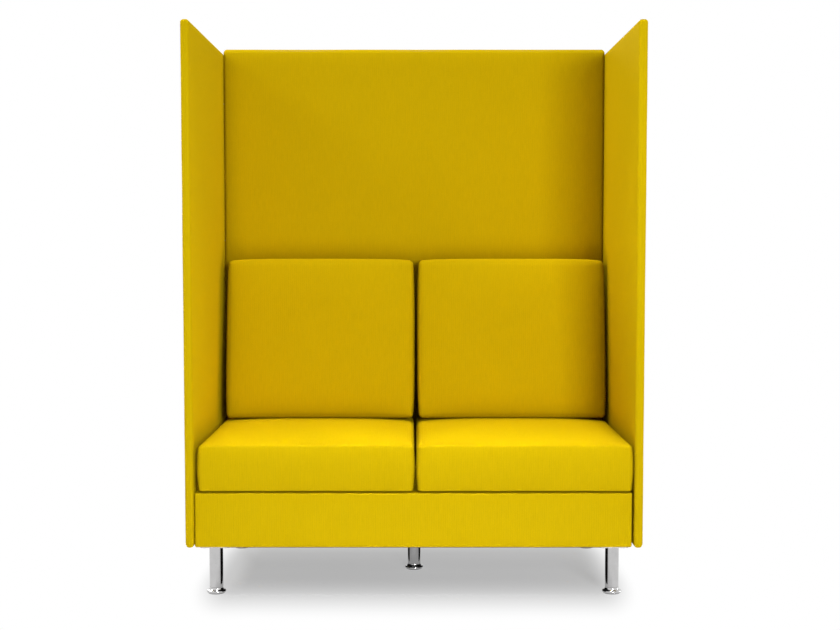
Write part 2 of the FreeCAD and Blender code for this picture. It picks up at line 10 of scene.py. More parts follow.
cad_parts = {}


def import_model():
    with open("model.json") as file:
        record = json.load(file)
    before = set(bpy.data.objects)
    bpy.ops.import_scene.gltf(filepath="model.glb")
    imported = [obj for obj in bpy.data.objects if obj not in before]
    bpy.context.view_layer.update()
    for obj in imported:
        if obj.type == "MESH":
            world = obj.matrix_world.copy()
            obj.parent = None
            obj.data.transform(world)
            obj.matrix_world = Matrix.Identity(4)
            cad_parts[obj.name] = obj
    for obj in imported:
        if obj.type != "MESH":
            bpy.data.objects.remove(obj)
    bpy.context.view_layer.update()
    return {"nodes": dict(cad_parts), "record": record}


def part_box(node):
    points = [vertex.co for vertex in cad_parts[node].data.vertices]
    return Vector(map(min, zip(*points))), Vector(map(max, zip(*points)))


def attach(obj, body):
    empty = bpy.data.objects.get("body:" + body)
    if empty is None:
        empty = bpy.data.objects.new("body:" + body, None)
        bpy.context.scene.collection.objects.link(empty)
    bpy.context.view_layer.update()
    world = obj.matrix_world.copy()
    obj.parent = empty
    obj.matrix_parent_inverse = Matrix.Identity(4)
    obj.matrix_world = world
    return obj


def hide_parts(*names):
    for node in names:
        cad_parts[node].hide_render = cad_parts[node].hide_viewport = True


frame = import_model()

LEGS = ("front_left", "front_right", "rear_left", "rear_right", "centre")
SIDES = ("left", "right")
TOUCH = 1e-5                    # slack for points that lie just on the start of a rounding
ARC_STEPS = 4                   # rows of faces on each half of a rounded edge
FULL_TURN = 2.0 * math.pi

# Screens
SCREEN_EDGE = 0.0090            # rounding of the side screens
SCREEN_ARC_STEPS = 5
SCREEN_CELL = 0.020
SCREEN_TRIM = {"left": 0.0022, "right": 0.0015}     # taken off the inner faces
SCREEN_FOOT = 1.5               # the rounding at a side screen's foot is this much taller
SCREEN_LIP = 0.030              # the back screen thins over this height at its top
SCREEN_FALL = 0.35              # share of its thickness that it loses there
BACK_SCREEN_EDGE = 0.0130
BACK_SCREEN_SQUEEZE = 1.2       # its rounding is this much tighter across the width
BACK_SCREEN_REACH = 0.0034      # it presses this far against the side screens

# Plinth
BASE_EDGE = 0.0065
BASE_CELL = 0.030
BASE_RIM = 0.5                  # share of the rounding's height that is kept along the top
PLINTH_REACH = (0.0054, 0.0008)     # to the left and to the right, against the screens
PLINTH_SET_BACK = 0.0025
FACES_DOWN = -0.9               # a face whose normal's height is below this looks down

# Seat cushions
SEAT_EDGE = 0.0130
SEAT_HEM = 0.4                  # share of the rounding's height that is kept along the bottom
SEAT_RIM = 0.5                  # the same along the top, between the corners
SEAT_CORNER = 0.03              # length of a corner, where the rounding is full
SEAT_REACH = {"left": (0.0030, 0.0), "right": (0.0, 0.0020)}
SEAT_BOW = 0.0045               # how far the edges stay behind the middle of the sides
SEAT_PULL = 0.0010              # how far the sides are drawn in between the corners
SEAT_SIDE = 0.0008              # room for the swell at the sides, at the front and on top
SEAT_FRONT = 0.0005
SEAT_CROWN = 0.010

# Back cushions
BACK_EDGE = 0.0130
BACK_BOW = 0.0030
BACK_BOW_POWER = 4
BACK_CROWN = 0.012
BACK_FOOT = 0.182               # thickness at the foot and at the head
BACK_HEAD = 0.102

# All cushions
CUSHION_CELL = 0.012
CUSHION_BELLY = 0.0025
CUSHION_PRESSURE = 4.0
CUSHION_STIFFNESS = 15.0
CUSHION_STEPS = 20
CROWN_FULLNESS = 2.2            # above 1, a crown rises steeply at its edge and is level in its middle
SWELL_CAP = 0.016
EVENING_ROUNDS = 30

# Uneven padding: amount and frequency of the waver, and a seed for each piece
SCREEN_WAVER = (0.0004, 7.0)
BASE_WAVER = (0.00008, 9.0)
CUSHION_WAVER = (0.00015, 11.0)
SHEET_WAVER = (0.35, 6.0)
SEED_SKEW = (1.0, 0.7, 1.3)
SEEDS = {"left_screen_cover": 11.0, "right_screen_cover": 12.0, "back_screen_cover": 13.0,
         "base_cover": 31.0, "dust_cover": 51.0,
         "left_seat_cover": 21.0, "left_back_cushion_cover": 22.0,
         "right_seat_cover": 24.0, "right_back_cushion_cover": 25.0}

# Cloth under the base and its staples
SHEET_CELL = 0.020
SHEET_SAG = 0.004
SHEET_REACH = 0.16              # the sag grows over this distance from a leg plate
STAPLE_PITCH = 0.055
STAPLE_INSET = 0.012
STAPLE_LENGTH = 0.010
STAPLE_WIRE = 0.0012
STAPLE_ROUND = 0.3              # rounding, as a share of the wire

# Upholstery cloth; a stretch is a pattern's frequency along each axis
RIB_PITCH = 0.0062
RIB_WANDER = 0.5                # share of the pitch
RIB_SHARE = 0.10                # of the ribs in the cloth's tone
WEFT_PITCH = 0.0024
GROOVE_POWER = 0.6              # below 1, the grooves between the ribs are narrow
WANDER_STRETCH = (40.0, 9.0, 1.0)
SLUB_STRETCH = (230.0, 26.0, 1.0)
THREAD_STRETCH = (430.0, 260.0, 1.0)
CLOTH_BUMP = 0.45
SCREEN_RELIEF = 1.0
PAD_RELIEF = 1.5
PAINTED_SHADE_REACH = 0.08            # painted shade: the cloth's colour is darker where other surfaces lie nearer than this
# share of the cloth's colour kept in the deepest painted shade
PAINTED_SHADE_LEVEL = 0.66
PAINTED_SHADE_SAMPLES = 8
SHEEN_TINT = (1.0, 0.74, 0.01, 1.0)

# Other finishes
POLISH_STRETCH = (700.0, 700.0, 40.0)
TWILL_PITCH = 0.003
PLYWOOD_STRETCH = (70.0, 70.0, 5.0)
SOFTWOOD_STRETCH = (6.0, 60.0, 60.0)

# Dark and light tone of each finish, linear
CLOTH_TONES = ((0.594, 0.409, 0.0010, 1.0), (0.720, 0.500, 0.0028, 1.0))
CHROME_TONES = ((0.50, 0.495, 0.495, 1.0), (0.57, 0.565, 0.565, 1.0))
ZINC_TONES = ((0.42, 0.43, 0.45, 1.0), (0.60, 0.60, 0.60, 1.0))
PLYWOOD_TONES = ((0.50, 0.34, 0.19, 1.0), (0.66, 0.48, 0.30, 1.0))
SOFTWOOD_TONES = ((0.58, 0.40, 0.23, 1.0), (0.74, 0.57, 0.37, 1.0))
PLASTIC_TONES = ((0.012, 0.012, 0.013, 1.0), (0.030, 0.030, 0.031, 1.0))
WEBBING_TONES = ((0.05, 0.045, 0.04, 1.0), (0.16, 0.14, 0.12, 1.0))
FOAM_TONES = ((0.70, 0.67, 0.55, 1.0), (0.84, 0.82, 0.74, 1.0))
FELT_TONES = ((0.27, 0.26, 0.25, 1.0), (0.50, 0.49, 0.47, 1.0))
UNDERSIDE_TONES = ((0.010, 0.010, 0.010, 1.0), (0.032, 0.032, 0.033, 1.0))
GRIP_TONES = ((0.008, 0.008, 0.008, 1.0), (0.035, 0.035, 0.035, 1.0))
CARD_TONES = ((0.010, 0.010, 0.010, 1.0), (0.016, 0.016, 0.016, 1.0))
WHITE = (1.0, 1.0, 1.0, 1.0)

# Studio
AMBIENT = 0.210
FLOOR_HALF = 9.0
FLOOR_CELLS = 8
FLOOR_TONE = 0.42               # of the floor in the sofa's shade, as it is seen
FLOOR_BOUNCE = 0.78             # of the floor for the light that it passes on
FLOOR_GLOW = 0.385              # own light in the painted shade under the sofa; 1, which is white, in the open
PAINTED_SHADE_CORE = (0.505, 0.125)     # half size of the deepest painted shade
PAINTED_SHADE_FADE = (0.135, 0.49)      # distance over which the painted shade ends
FLOOR_HOLD = 4.0                # how fast the seen tone gives way to the glow
# Dark cards under the sofa, seen only in the chrome: a painted reflection of the shade there
SHADE_REFLECTION_CARDS = (                       # x, and y of the near and the far end
    (-0.43, -0.34, 0.10), (0.43, -0.34, 0.10), (-0.12, -0.03, 0.30), (0.12, -0.03, 0.30),
)
SHADE_CARD_HEIGHT = 0.14
OPEN = math.pi                  # beam of a lamp without and with a grid
NARROW = 0.5
SOFTBOXES = (                   # name, place, target, size, beam, watts
    ("front_softbox", (1.5, -5.2, 1.6), (0.0, 0.33, 0.95), (1.1, 1.4), OPEN, 124.0),
    ("overhead_softbox", (0.0, 0.15, 8.0), (0.0, -0.1, 0.4), (1.6, 0.8), OPEN, 260.2),
    ("left_softbox", (-3.6, -0.1, 3.6), (0.6, 0.0, 1.1), (1.0, 1.0), OPEN, 81.4),
    ("rear_softbox", (-1.6, 5.0, 2.2), (0.0, 0.36, 0.9), (1.4, 1.4), OPEN, 90.0),
    ("right_softbox", (4.8, 0.9, 0.75), (0.63, 0.1, 0.8), (1.2, 1.2), OPEN, 55.0),
    ("seat_softbox", (0.0, -0.80, 2.6), (0.0, -0.33, 0.43), (1.3, 0.15), NARROW, 1.75),
)

# Camera, fitted to the photograph's perspective
CAMERA_PLACE = (0.0, -4.216, 0.978)
CAMERA_TILT = math.radians(3.755)
CAMERA_LENS = 60.77
CAMERA_SENSOR = 36.0
CAMERA_SHIFT = (0.00702, 0.02357)


# Node helpers

class Shader:
    """A material's node tree with short calls for the nodes used here."""

    def __init__(self, name):
        self.material = bpy.data.materials.new(name)
        self.material.use_nodes = True
        self.tree = self.material.node_tree
        self.surface = self.tree.nodes["Principled BSDF"]

    def link(self, source, target):
        self.tree.links.new(source, target)

    def put(self, socket, value):
        """A link where the value is another node's output, else a constant on the socket."""
        if isinstance(value, bpy.types.NodeSocket):
            self.link(value, socket)
        else:
            socket.default_value = value

    def set(self, **values):
        """Values or links for the surface shader, with underscores for spaces in its names."""
        for name, value in values.items():
            self.put(self.surface.inputs[name.replace("_", " ")], value)

    def coordinate(self, kind="Object"):
        return self.tree.nodes.new("ShaderNodeTexCoord").outputs[kind]

    def math(self, operation, a, b=0.0):
        node = self.tree.nodes.new("ShaderNodeMath")
        node.operation = operation
        self.put(node.inputs[0], a)
        self.put(node.inputs[1], b)
        return node.outputs[0]

    def weighted(self, *parts):
        """Sum of values, each times its share."""
        scaled = [self.math("MULTIPLY", value, share) for value, share in parts]
        total = scaled[0]
        for part in scaled[1:]:
            total = self.math("ADD", total, part)
        return total

    def blend(self, share, a, b):
        """Plain number blend of a and b."""
        node = self.tree.nodes.new("ShaderNodeMix")
        node.data_type = "FLOAT"
        self.put(node.inputs[0], share)
        self.put(node.inputs[2], a)
        self.put(node.inputs[3], b)
        return node.outputs[0]

    def span(self, value, start, end, to=(0.0, 1.0)):
        """Value stretched smoothly from one range to another."""
        node = self.tree.nodes.new("ShaderNodeMapRange")
        node.interpolation_type = "SMOOTHSTEP"
        for index, item in enumerate((value, start, end, *to)):
            self.put(node.inputs[index], item)
        return node.outputs[0]

    def split(self, vector):
        node = self.tree.nodes.new("ShaderNodeSeparateXYZ")
        self.link(vector, node.inputs[0])
        return node.outputs

    def join(self, x, y, z):
        node = self.tree.nodes.new("ShaderNodeCombineXYZ")
        for index, item in enumerate((x, y, z)):
            self.put(node.inputs[index], item)
        return node.outputs[0]

    def scaled(self, vector, scale):
        node = self.tree.nodes.new("ShaderNodeMapping")
        self.link(vector, node.inputs["Vector"])
        node.inputs["Scale"].default_value = scale
        return node.outputs[0]

    def noise(self, vector, scale=1.0, detail=2.0, roughness=0.5):
        node = self.tree.nodes.new("ShaderNodeTexNoise")
        self.link(vector, node.inputs["Vector"])
        node.inputs["Scale"].default_value = scale
        node.inputs["Detail"].default_value = detail
        node.inputs["Roughness"].default_value = roughness
        return node.outputs["Fac"]

    def cells(self, vector, scale):
        node = self.tree.nodes.new("ShaderNodeTexVoronoi")
        self.link(vector, node.inputs["Vector"])
        node.inputs["Scale"].default_value = scale
        return node.outputs["Distance"]

    def ramp(self, value, start, end, tones):
        """The dark tone up to the start, the light one from the end on, and a blend between them."""
        node = self.tree.nodes.new("ShaderNodeValToRGB")
        self.put(node.inputs[0], value)
        for element, position, tone in zip(node.color_ramp.elements, (start, end), tones):
            element.position = position
            element.color = tone
        return node.outputs[0]

    def nearby(self, distance):
        """Openness of a place: 1 in the open, less where other surfaces lie within the distance; used to
        paint shade into the cloth's colour.
        """
        node = self.tree.nodes.new("ShaderNodeAmbientOcclusion")
        node.samples = PAINTED_SHADE_SAMPLES
        node.inputs["Distance"].default_value = distance
        return node.outputs["AO"]

    def dimmed(self, colour, share):
        node = self.tree.nodes.new("ShaderNodeVectorMath")
        node.operation = "SCALE"
        self.link(colour, node.inputs[0])
        self.put(node.inputs["Scale"], share)
        return node.outputs[0]

    def bump(self, height, strength, distance):
        node = self.tree.nodes.new("ShaderNodeBump")
        node.inputs["Strength"].default_value = strength
        node.inputs["Distance"].default_value = distance
        self.link(height, node.inputs["Height"])
        self.link(node.outputs[0], self.surface.inputs["Normal"])


# Materials

def woven_fabric(name, relief):
    """Ribbed upholstery cloth: cords along the height, fine weft across, faint slubs and soft mottling, and
    painted shade that darkens its colour in corners, creases and gaps.
    """
    s = Shader(name)
    x, y, z = s.split(s.coordinate("Object"))
    normal = s.split(s.coordinate("Normal"))
    facing = [s.span(s.math("ABSOLUTE", part), start=0.55, end=0.8) for part in normal]
    across = s.blend(facing[0], x, y)
    along = s.blend(facing[2], z, y)
    place = s.join(across, along, 0.0)
    wander = s.math("MULTIPLY", s.noise(s.scaled(place, WANDER_STRETCH)), RIB_PITCH * RIB_WANDER)
    turn = s.math("MULTIPLY", s.math("ADD", across, wander), FULL_TURN / RIB_PITCH)
    cord = s.math("SINE", turn)
    half_turn = s.math("MULTIPLY", turn, 0.5)
    groove = s.math("POWER", s.math("ABSOLUTE", s.math("SINE", half_turn)), GROOVE_POWER)
    weft = s.math("SINE", s.math("MULTIPLY", along, FULL_TURN / WEFT_PITCH))
    crossing = s.math("MULTIPLY", weft, cord)
    slub = s.noise(s.scaled(place, SLUB_STRETCH), detail=3.0, roughness=0.6)
    thread = s.noise(s.scaled(place, THREAD_STRETCH))
    mottle = s.noise(s.join(x, y, z), scale=3.5, detail=3.0)
    rib = s.math("ADD", groove, crossing)
    tone = s.weighted((slub, 0.42), (thread, 0.46), (mottle, 0.16), (rib, RIB_SHARE * relief))
    # painted shade: the colour is darkened where other surfaces lie near, as in corners, creases and
    # between cushions
    shade = s.span(s.nearby(PAINTED_SHADE_REACH), start=0.35, end=1.0, to=(PAINTED_SHADE_LEVEL, 1.0))
    s.set(Base_Color=s.dimmed(s.ramp(tone, start=0.32, end=0.84, tones=CLOTH_TONES), shade))
    s.set(Roughness=s.span(thread, start=0.2, end=0.8, to=(0.78, 0.95)), Specular_IOR_Level=0.01)
    s.set(Sheen_Weight=0.3, Sheen_Roughness=0.5, Sheen_Tint=SHEEN_TINT)
    height = s.weighted((groove, 0.8), (crossing, 0.3), (slub, 0.9))
    s.bump(height, strength=CLOTH_BUMP * relief, distance=0.0005)
    return s.material


def polished_chrome(name):
    """Bright plating with a faint haze and hairline polishing marks."""
    s = Shader(name)
    place = s.coordinate("Object")
    haze = s.noise(place, scale=45.0, detail=3.0)
    lines = s.noise(s.scaled(place, POLISH_STRETCH))
    s.set(Base_Color=s.ramp(haze, start=0.2, end=0.8, tones=CHROME_TONES))
    s.set(Metallic=1.0, Roughness=s.span(s.math("ADD", haze, lines), start=0.6, end=1.4, to=(0.05, 0.13)))
    s.bump(lines, strength=0.03, distance=0.0002)
    return s.material


def zinc_plate(name):
    """Zinc-plated steel with mottled crystals."""
    s = Shader(name)
    place = s.coordinate("Object")
    crystals = s.cells(place, scale=260.0)
    s.set(Base_Color=s.ramp(crystals, start=0.0, end=0.7, tones=ZINC_TONES))
    s.set(Metallic=1.0, Roughness=s.span(s.noise(place, scale=90.0), start=0.3, end=0.7, to=(0.28, 0.5)))
    s.bump(crystals, strength=0.08, distance=0.0003)
    return s.material


def sawn_wood(name, tones, stretch):
    """Wood with long grain; stretch gives the grain's frequency along each axis."""
    s = Shader(name)
    place = s.scaled(s.coordinate("Object"), stretch)
    rings = s.noise(place, detail=4.0, roughness=0.6)
    pores = s.noise(place, scale=9.0)
    tone = s.weighted((rings, 0.75), (pores, 0.25))
    s.set(Base_Color=s.ramp(tone, start=0.3, end=0.7, tones=tones))
    s.set(Roughness=s.span(pores, start=0.3, end=0.7, to=(0.55, 0.8)))
    s.bump(tone, strength=0.25, distance=0.0006)
    return s.material


def moulded_plastic(name):
    """Dark glide plastic with a fine moulded grain."""
    s = Shader(name)
    grain = s.noise(s.coordinate("Object"), scale=1500.0)
    s.set(Base_Color=s.ramp(grain, start=0.3, end=0.7, tones=PLASTIC_TONES))
    s.set(Roughness=s.span(grain, start=0.3, end=0.7, to=(0.42, 0.6)))
    s.bump(grain, strength=0.15, distance=0.0002)
    return s.material


def strap_webbing(name):
    """Elastic webbing with a twill weave and lighter rubber specks."""
    s = Shader(name)
    x, y, _ = s.split(s.coordinate("Object"))
    twill = s.math("SINE", s.math("MULTIPLY", s.math("ADD", x, y), FULL_TURN / TWILL_PITCH))
    speck = s.noise(s.coordinate("Object"), scale=900.0)
    tone = s.weighted((twill, 0.2), (speck, 1.0))
    s.set(Base_Color=s.ramp(tone, start=0.3, end=0.8, tones=WEBBING_TONES))
    s.set(Roughness=s.span(speck, start=0.3, end=0.7, to=(0.7, 0.9)))
    s.bump(tone, strength=0.3, distance=0.0005)
    return s.material


def fibre_felt(name, tones, scale):
    """Pressed fibres, as in felt, non-woven cloth and grip tape."""
    s = Shader(name)
    place = s.coordinate("Object")
    fibre = s.noise(place, scale=scale, detail=4.0, roughness=0.65)
    points = s.cells(place, scale=scale * 0.6)
    s.set(Base_Color=s.ramp(fibre, start=0.3, end=0.7, tones=tones))
    s.set(Roughness=s.span(fibre, start=0.3, end=0.7, to=(0.82, 0.97)))
    s.bump(s.weighted((fibre, 1.0), (points, 0.8)), strength=0.4, distance=0.0006)
    return s.material


def open_foam(name):
    """Cut polyurethane foam with open cells."""
    s = Shader(name)
    place = s.coordinate("Object")
    pores = s.cells(place, scale=520.0)
    shade = s.noise(place, scale=14.0, detail=3.0)
    tone = s.weighted((pores, 0.5), (shade, 1.0))
    s.set(Base_Color=s.ramp(tone, start=0.4, end=0.9, tones=FOAM_TONES))
    s.set(Roughness=s.span(pores, start=0.0, end=0.6, to=(0.8, 0.95)))
    s.bump(pores, strength=0.5, distance=0.0008)
    return s.material


# Mesh helpers

def axis_stops(low, high, radius, arc_steps, cell):
    """Positions along one axis of a rounded block: close together on the rounded ends, then even cells."""
    bend = [radius * math.tan(math.radians(45.0) * i / arc_steps) for i in range(arc_steps, 0, -1)]
    inner_low, inner_high = low + radius, high - radius
    count = max(1, round((inner_high - inner_low) / cell))
    flat = [inner_low + (inner_high - inner_low) * i / count for i in range(count + 1)]
    return [inner_low - b for b in bend] + flat + [inner_high + b for b in reversed(bend)]


def rounded_block(name, low, high, radius, cell, arc_steps=ARC_STEPS):
    """A closed block of even quads whose edges and corners are round."""
    stops = [axis_stops(low[i], high[i], radius, arc_steps, cell) for i in range(3)]
    last = [len(s) - 1 for s in stops]
    mesh = bmesh.new()
    made = {}

    def vertex(key):
        if key not in made:
            point = Vector(stops[i][key[i]] for i in range(3))
            core = Vector(min(max(point[i], low[i] + radius), high[i] - radius) for i in range(3))
            out = point - core
            made[key] = mesh.verts.new(core + out.normalized() * radius)
        return made[key]

    for axis in range(3):
        u, v = (axis + 1) % 3, (axis + 2) % 3
        for end in (0, last[axis]):
            for i in range(last[u]):
                for j in range(last[v]):
                    ring = [(i, j), (i + 1, j), (i + 1, j + 1), (i, j + 1)]
                    corners = []
                    for a, b in ring if end else reversed(ring):
                        key = [0, 0, 0]
                        key[axis], key[u], key[v] = end, a, b
                        corners.append(vertex(tuple(key)))
                    mesh.faces.new(corners)
    return finished_mesh(name, mesh)


def finished_mesh(name, mesh):
    """A smooth-shaded object from a bmesh."""
    data = bpy.data.meshes.new(name)
    for face in mesh.faces:
        face.smooth = True
    mesh.to_mesh(data)
    mesh.free()
    piece = bpy.data.objects.new(name, data)
    bpy.context.scene.collection.objects.link(piece)
    return piece


def dress(piece, material, body, node):
    """Material, body, slot and replaced node of a new piece."""
    piece.data.materials.append(material)
    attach(piece, body)
    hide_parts(node)


def waver(point, frequency, seed):
    """Smooth noise between -1 and 1 at a point."""
    return noise.noise(Vector(point) * frequency + Vector(seed * part for part in SEED_SKEW))


def ruffle(piece, amount, frequency, seed):
    """Moves each point of a piece a little along its normal, as cloth over padding is never quite even."""
    normals = [vertex.normal.copy() for vertex in piece.data.vertices]
    for vertex, normal in zip(piece.data.vertices, normals):
        vertex.co += normal * amount * waver(vertex.co, frequency, seed)


def nearer(value, limit, share):
    """A value drawn to a limit, with this share of its distance kept."""
    return limit + (value - limit) * share


# Pieces

def screen(node, material, edge=SCREEN_EDGE, side_squeeze=1.0, reach=0.0):
    """A padded screen with round edges and a slightly uneven pad under tight cloth.

    Where a screen is pressed between two others, side_squeeze tightens the rounding across its width
    and reach widens its soft edges towards them.
    """
    low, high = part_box(node)
    at_the_back = high.y - low.y < high.x - low.x
    if high.x < 0.0:
        high.x -= SCREEN_TRIM["left"]
    elif low.x > 0.0:
        low.x += SCREEN_TRIM["right"]
    low.x, high.x = (low.x - reach) * side_squeeze, (high.x + reach) * side_squeeze
    name = node.replace("_cover", "_upholstery")
    piece = rounded_block(name, low, high, edge, SCREEN_CELL, SCREEN_ARC_STEPS)
    middle = (low.y + high.y) / 2.0
    for vertex in piece.data.vertices:
        vertex.co.x /= side_squeeze
        rise = max(0.0, vertex.co.z - high.z + SCREEN_LIP) / SCREEN_LIP
        if at_the_back:
            vertex.co.y = nearer(vertex.co.y, middle, 1.0 - SCREEN_FALL * rise * rise)
        elif vertex.co.z < low.z + edge + TOUCH:
            vertex.co.z = nearer(vertex.co.z, low.z, SCREEN_FOOT)
    ruffle(piece, *SCREEN_WAVER, SEEDS[node])
    dress(piece, material, "sofa", node)


def plinth(material):
    """The padded base cover: tight round edges above, a turned-under hem below, open underneath."""
    low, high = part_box("base_cover")
    low.x, high.x = low.x - PLINTH_REACH[0], high.x + PLINTH_REACH[1]
    low.y += PLINTH_SET_BACK
    piece = rounded_block("base_upholstery", low, high, BASE_EDGE, BASE_CELL)
    for vertex in piece.data.vertices:
        if vertex.co.z > high.z - BASE_EDGE + TOUCH:
            vertex.co.z = nearer(vertex.co.z, high.z, BASE_RIM)
    mesh = bmesh.new()
    mesh.from_mesh(piece.data)
    inner_low, inner_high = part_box("dust_cover")
    under = [face for face in mesh.faces if face.normal.z < FACES_DOWN
             and inner_low.x < face.calc_center_median().x < inner_high.x
             and inner_low.y < face.calc_center_median().y < inner_high.y]
    bmesh.ops.delete(mesh, geom=under, context="FACES")
    mesh.to_mesh(piece.data)
    mesh.free()
    ruffle(piece, *BASE_WAVER, SEEDS["base_cover"])
    dress(piece, material, "sofa", "base_cover")


def on_an_edge(point, low, high, radius):
    """Whether a point lies on a rounded edge or corner of a block, and not on its faces."""
    bent = sum(point[i] < low[i] + radius - TOUCH or point[i] > high[i] - radius + TOUCH for i in range(3))
    return bent >= 2


def evened(moves, held, edges):
    """Moves of a mesh's points, averaged with their neighbours to take out wrinkles; held points stay."""
    for _ in range(EVENING_ROUNDS):
        total = [move.copy() for move in moves]
        count = [1] * len(moves)
        for edge in edges:
            a, b = edge.vertices
            total[a] += moves[b]
            total[b] += moves[a]
            count[a] += 1
            count[b] += 1
        moves = [Vector() if stays else part / number for part, number, stays in zip(total, count, held)]
    return moves


def swell(piece, held, limits):
    """Inflates a cushion by cloth simulation with its seams held, and keeps its moves within the limits."""
    group = piece.vertex_groups.new(name="held")
    group.add([index for index, stays in enumerate(held) if stays], 1.0, "REPLACE")
    cloth = piece.modifiers.new("cloth", "CLOTH")
    settings = cloth.settings
    settings.use_pressure = True
    settings.uniform_pressure_force = CUSHION_PRESSURE
    settings.tension_stiffness = settings.compression_stiffness = CUSHION_STIFFNESS
    settings.vertex_group_mass = group.name
    settings.effector_weights.gravity = 0.0
    cloth.collision_settings.use_collision = False
    for step in range(1, CUSHION_STEPS + 1):
        bpy.context.scene.frame_set(step)
    shaped = piece.evaluated_get(bpy.context.evaluated_depsgraph_get()).to_mesh()
    moves = [after.co - before.co for after, before in zip(shaped.vertices, piece.data.vertices)]
    piece.modifiers.remove(cloth)
    bpy.context.scene.frame_set(1)
    moves = evened(moves, held, piece.data.edges)
    reach = [max(abs(move[axis]) for move in moves) for axis in range(3)]
    for vertex, move in zip(piece.data.vertices, moves):
        for axis in range(3):
            share = 1.0 - (1.0 - abs(move[axis]) / reach[axis]) ** CROWN_FULLNESS
            vertex.co[axis] += math.copysign(min(share * limits[axis], SWELL_CAP), move[axis])
    piece.vertex_groups.remove(group)


def soften(piece, material, body, node):
    """Surface waver, subdivision, and the material, body and hidden CAD node that every cushion needs."""
    ruffle(piece, *CUSHION_WAVER, SEEDS[node])
    smooth = piece.modifiers.new("smooth", "SUBSURF")
    smooth.levels = smooth.render_levels = 1
    dress(piece, material, body, node)


def drawn_in(across, half):
    """How far a seat's side is drawn in at a place along it: most in the middle, none at the corners."""
    return SEAT_PULL * max(0.0, 1.0 - (across / half) ** 2)


def seat_cushion(side, material):
    """A box cushion: level underneath, crowned on top, with sides that swell between crisp edges."""
    node = side + "_seat_cover"
    low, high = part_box(node)
    inset = Vector((SEAT_SIDE, SEAT_FRONT, 0.0))
    low, high = low + inset, high - inset - Vector((0.0, 0.0, SEAT_CROWN))
    low.x, high.x = low.x - SEAT_REACH[side][0], high.x + SEAT_REACH[side][1]
    piece = rounded_block(side + "_seat_upholstery", low, high, SEAT_EDGE, CUSHION_CELL)
    middle, half = (low + high) / 2.0, (high - low) / 2.0
    held = []
    for vertex in piece.data.vertices:
        held.append(vertex.co.z < low.z + TOUCH or on_an_edge(vertex.co, low, high, SEAT_EDGE))
        bow = SEAT_BOW * ((vertex.co.z - middle.z) / half.z) ** 2
        if vertex.co.z < low.z + SEAT_EDGE - TOUCH:
            vertex.co.z = nearer(vertex.co.z, low.z, SEAT_HEM)
        elif vertex.co.z > high.z - SEAT_EDGE + TOUCH:
            corner = max(0.0, 1.0 - (half.x - abs(vertex.co.x - middle.x)) / SEAT_CORNER)
            vertex.co.z = nearer(vertex.co.z, high.z, SEAT_RIM + (1.0 - SEAT_RIM) * corner)
        u, v = vertex.co.x - middle.x, vertex.co.y - middle.y
        vertex.co.x -= (drawn_in(v, half.y) + bow) * u / half.x
        vertex.co.y -= (drawn_in(u, half.x) + bow) * v / half.y
    swell(piece, held, (SEAT_SIDE, CUSHION_BELLY, SEAT_CROWN))
    soften(piece, material, side + "_seat_cushion", node)


def back_cushion(side, material):
    """A wedge cushion, thick at its foot, that stands on the seat and leans on the back screen."""
    node = side + "_back_cushion_cover"
    low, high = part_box(node)
    inset = Vector((CUSHION_BELLY, 0.0, CUSHION_BELLY))
    low, high = low + inset, high - inset
    low.z -= CUSHION_BELLY
    low.y = high.y - BACK_FOOT
    piece = rounded_block(side + "_back_upholstery", low, high, BACK_EDGE, CUSHION_CELL)
    middle, half = (low + high) / 2.0, (high - low) / 2.0
    held = []
    for vertex in piece.data.vertices:
        leans = vertex.co.y > high.y - TOUCH or vertex.co.z < low.z + TOUCH
        held.append(leans or on_an_edge(vertex.co, low, high, BACK_EDGE))
        u, v = vertex.co.x - middle.x, vertex.co.z - middle.z
        thick = BACK_FOOT + (BACK_HEAD - BACK_FOOT) * (vertex.co.z - low.z) / (high.z - low.z)
        depth = high.y - vertex.co.y
        inner = (depth - BACK_EDGE) / (BACK_FOOT - 2.0 * BACK_EDGE)
        vertex.co.y += min(max(inner, 0.0), 1.0) * (BACK_FOOT - thick)
        vertex.co.x -= BACK_BOW * (v / half.z) ** BACK_BOW_POWER * u / half.x
        vertex.co.z -= BACK_BOW * (u / half.x) ** BACK_BOW_POWER * max(0.0, v) / half.z
    swell(piece, held, (CUSHION_BELLY, BACK_CROWN, CUSHION_BELLY))
    soften(piece, material, side + "_back_cushion", node)


def dust_sheet(material):
    """Cloth stretched under the frame, cut out round the leg plates and sagging a little between them."""
    low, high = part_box("dust_cover")
    width, depth = high.x - low.x, high.y - low.y
    plates = [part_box(leg + "_leg_plate") for leg in LEGS]
    columns, rows = round(width / SHEET_CELL), round(depth / SHEET_CELL)
    uneven, frequency = SHEET_WAVER
    mesh = bmesh.new()
    made = {}

    def vertex(i, j):
        if (i, j) not in made:
            x, y = low.x + width * i / columns, low.y + depth * j / rows
            free = math.sin(math.pi * i / columns) * math.sin(math.pi * j / rows)
            clear = min(math.hypot(x - (a.x + b.x) / 2.0, y - (a.y + b.y) / 2.0) for a, b in plates)
            ripple = 1.0 + uneven * waver((x, y, 0.0), frequency, SEEDS["dust_cover"])
            hang = free * min(1.0, clear / SHEET_REACH) * ripple
            made[i, j] = mesh.verts.new((x, y, low.z - SHEET_SAG * max(0.0, hang)))
        return made[i, j]

    area = 0.0
    for i in range(columns):
        for j in range(rows):
            x, y = low.x + width * (i + 0.5) / columns, low.y + depth * (j + 0.5) / rows
            if not any(a.x < x < b.x and a.y < y < b.y for a, b in plates):
                ring = ((i, j), (i, j + 1), (i + 1, j + 1), (i + 1, j))
                area += mesh.faces.new([vertex(*key) for key in ring]).calc_area()
    piece = finished_mesh("underside_cloth", mesh)
    dress(piece, material, "sofa", "dust_cover")


